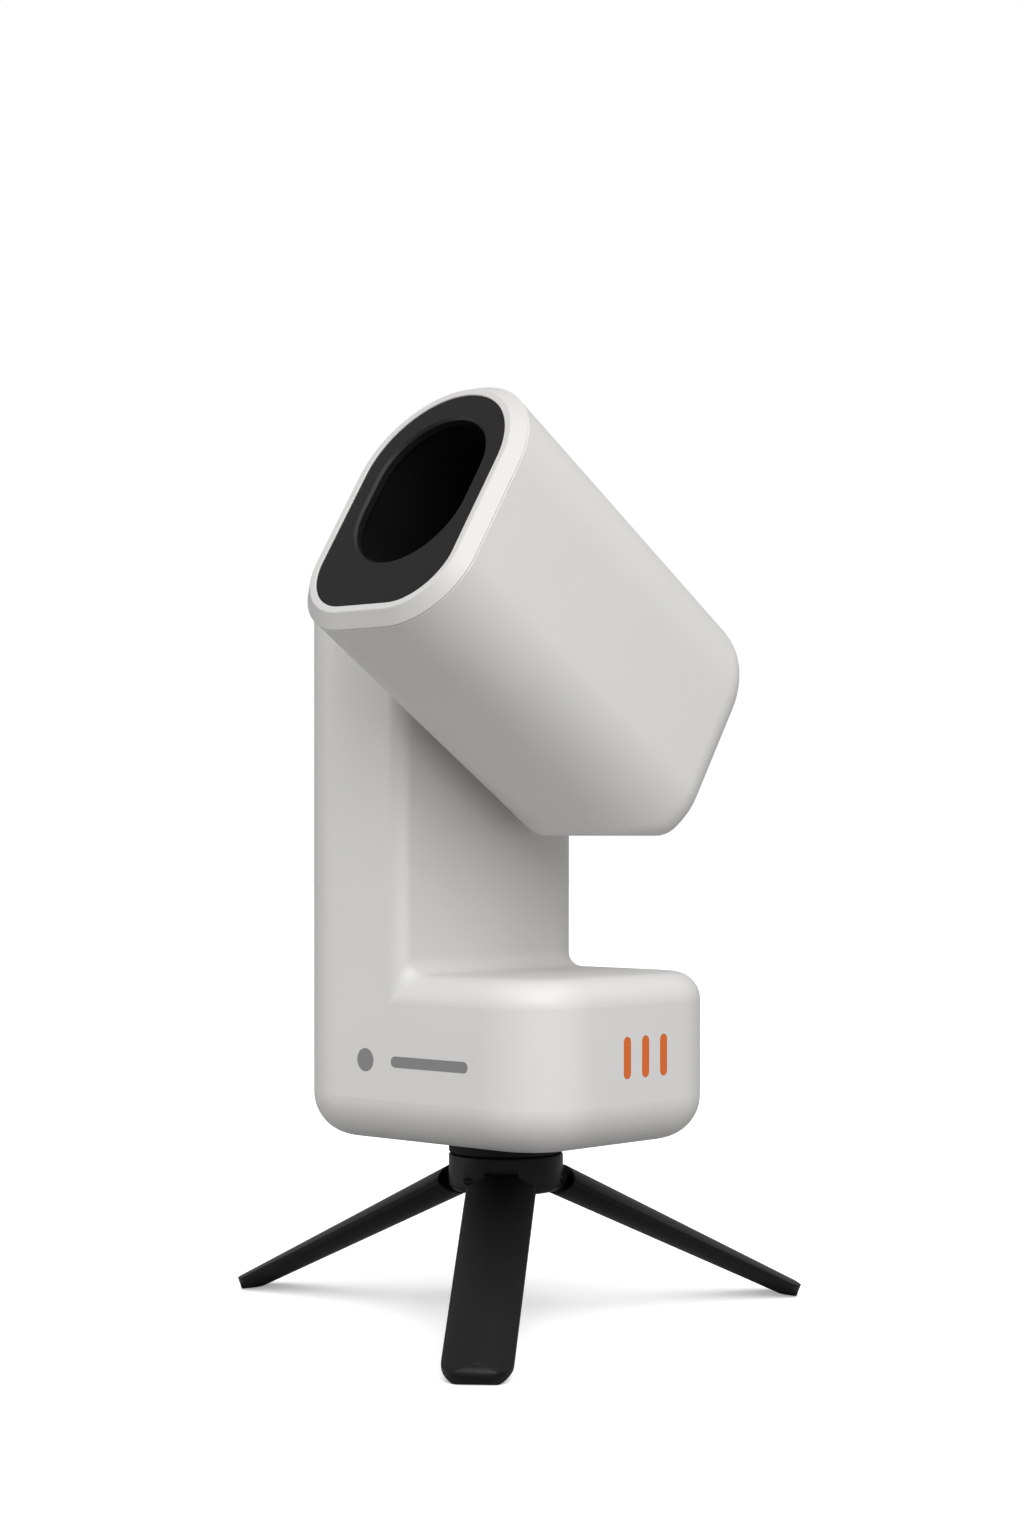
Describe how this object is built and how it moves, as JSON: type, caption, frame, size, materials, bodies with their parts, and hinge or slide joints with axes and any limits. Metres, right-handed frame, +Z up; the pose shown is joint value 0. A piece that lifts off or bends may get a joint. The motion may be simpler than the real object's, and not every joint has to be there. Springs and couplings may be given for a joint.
{
  "type": "smart telescope",
  "caption": "Compact motorised telescope: flat-sided optical tube tilting on an L-shaped turning body, on a folding table tripod.",
  "frame": {"origin": "middle of the bounding box on the surface it stands on", "axes": "+Z up; -Y is the body's front, the way the tube points; +X is the side the tube hangs on"},
  "size_m": [0.2056, 0.2274, 0.3334],
  "materials": {
    "body_white": "satin moulded plastic",
    "tube_white": "satin moulded plastic",
    "button_grey": "satin",
    "plate_black": "fine satin",
    "shield_black": "deep matte",
    "cell_black": "black anodised",
    "lens_glass": "coated",
    "filter_glass": "coated",
    "leg_black": "fine moulded texture",
    "rubber_black": "matte",
    "steel": "machined",
    "motor_steel": "drawn can",
    "brass": "cut",
    "gear_nylon": "moulded",
    "aluminium": "machined",
    "turret_black": "moulded",
    "battery_wrap": "shrink film",
    "board_green": "solder mask",
    "port_metal": "bright",
    "sensor_dark": "polished",
    "light_clear": "frosted",
    "mark_grey": "satin",
    "mark_orange": "satin"
  },
  "bodies": {
    "stand": {"tripod_hub": "leg_black", "platform_disc": "rubber_black", "mount_stud": "steel", "leg_pins": "steel", "azimuth_plate": "aluminium", "azimuth_gear": "gear_nylon", "retaining_ring": "steel"},
    "turning_body": {"body_housing": "body_white", "side_cover": "body_white", "bottom_cover": "body_white", "side_cover_screws": "steel", "bottom_cover_screws": "steel", "front_mark": "mark_grey", "side_mark": "mark_orange", "chassis_plate": "aluminium", "chassis_screws": "steel", "azimuth_bush": "brass", "azimuth_motor": "motor_steel", "battery_tray": "turret_black", "battery_cells": "battery_wrap", "altitude_bracket": "aluminium", "altitude_bearings": "steel", "altitude_motor": "motor_steel", "main_board": "board_green", "rear_board": "board_green", "usb_port": "port_metal", "status_light": "light_clear"},
    "azimuth_drive": {"azimuth_pinion": "brass"},
    "altitude_drive": {"altitude_pinion": "brass"},
    "button": {"power_button": "button_grey"},
    "optical_tube": {"tube_shell": "tube_white", "front_bezel": "tube_white", "face_plate": "plate_black", "light_shield": "shield_black", "lens_cell": "cell_black", "front_lens": "lens_glass", "rear_lens": "lens_glass", "lens_retainer": "cell_black", "optical_barrel": "cell_black", "wide_camera": "shield_black", "altitude_shaft": "steel", "altitude_gear": "gear_nylon", "shaft_nut": "steel", "camera_frame": "aluminium", "focus_rails": "steel", "filter_motor": "motor_steel", "focus_motor": "motor_steel"},
    "filter_turret": {"filter_wheel": "turret_black", "filters": "filter_glass"},
    "focus_drive": {"lead_screw": "steel"},
    "focuser": {"focus_carriage": "aluminium", "sensor_board": "board_green", "image_sensor": "sensor_dark"},
    "leg_front": {"leg_front": "leg_black", "foot_pad_front": "rubber_black"},
    "leg_rear": {"leg_rear": "leg_black", "foot_pad_rear": "rubber_black"},
    "leg_left": {"leg_left": "leg_black", "foot_pad_left": "rubber_black"}
  },
  "joints": [
    {"name": "azimuth", "type": "hinge", "parent": "stand", "child": "turning_body", "pos_m": [0.02017, -0.00338, 0.0675], "axis": [0, 0, 1], "continuous": true},
    {"name": "azimuth_pinion_spin", "type": "hinge", "parent": "turning_body", "child": "azimuth_drive", "pos_m": [0.04672, -0.02993, 0.0735], "axis": [0, 0, 1], "continuous": true},
    {"name": "altitude", "type": "hinge", "parent": "turning_body", "child": "optical_tube", "pos_m": [0.02017, -0.00338, 0.2335], "axis": [-1, 0, 0], "range_deg": [-68, 57]},
    {"name": "altitude_pinion_spin", "type": "hinge", "parent": "turning_body", "child": "altitude_drive", "pos_m": [-0.00083, -0.00338, 0.19595], "axis": [-1, 0, 0], "range_deg": [-230, 274]},
    {"name": "power_press", "type": "slide", "parent": "turning_body", "child": "button", "axis": [0, -1, 0], "range_m": [0, 0.0008], "stiffness_N_per_m": 500, "springref_m": -0.001},
    {"name": "filter_turn", "type": "hinge", "parent": "optical_tube", "child": "filter_turret", "pos_m": [0.05637, -0.01476, 0.21919], "axis": [0, -0.8387, 0.5446], "range_deg": [0, 240]},
    {"name": "lead_screw_turn", "type": "hinge", "parent": "optical_tube", "child": "focus_drive", "pos_m": [0.05637, 0.02973, 0.24777], "axis": [0, -0.8387, 0.5446], "range_deg": [-1085, 1085]},
    {"name": "focus_slide", "type": "slide", "parent": "optical_tube", "child": "focuser", "axis": [0, -0.8387, 0.5446], "range_m": [-0.003, 0.003]},
    {"name": "leg_front_fold", "type": "hinge", "parent": "stand", "child": "leg_front", "pos_m": [0.0307, -0.01673, 0.0522], "axis": [0.7853, 0.6191, 0], "range_deg": [0, 64.5]},
    {"name": "leg_rear_fold", "type": "hinge", "parent": "stand", "child": "leg_rear", "pos_m": [0.02647, 0.01241, 0.0522], "axis": [-0.9288, 0.3706, 0], "range_deg": [0, 64.5]},
    {"name": "leg_left_fold", "type": "hinge", "parent": "stand", "child": "leg_left", "pos_m": [0.00335, -0.00582, 0.0522], "axis": [0.1435, -0.9897, 0], "range_deg": [0, 64.5]}
  ],
  "couplings": [
    {"joint": "azimuth_pinion_spin", "follows": "azimuth", "ratio": 4},
    {"joint": "altitude_pinion_spin", "follows": "altitude", "ratio": -4},
    {"joint": "lead_screw_turn", "follows": "focus_slide", "rad_per_m": 6283.2}
  ]
}
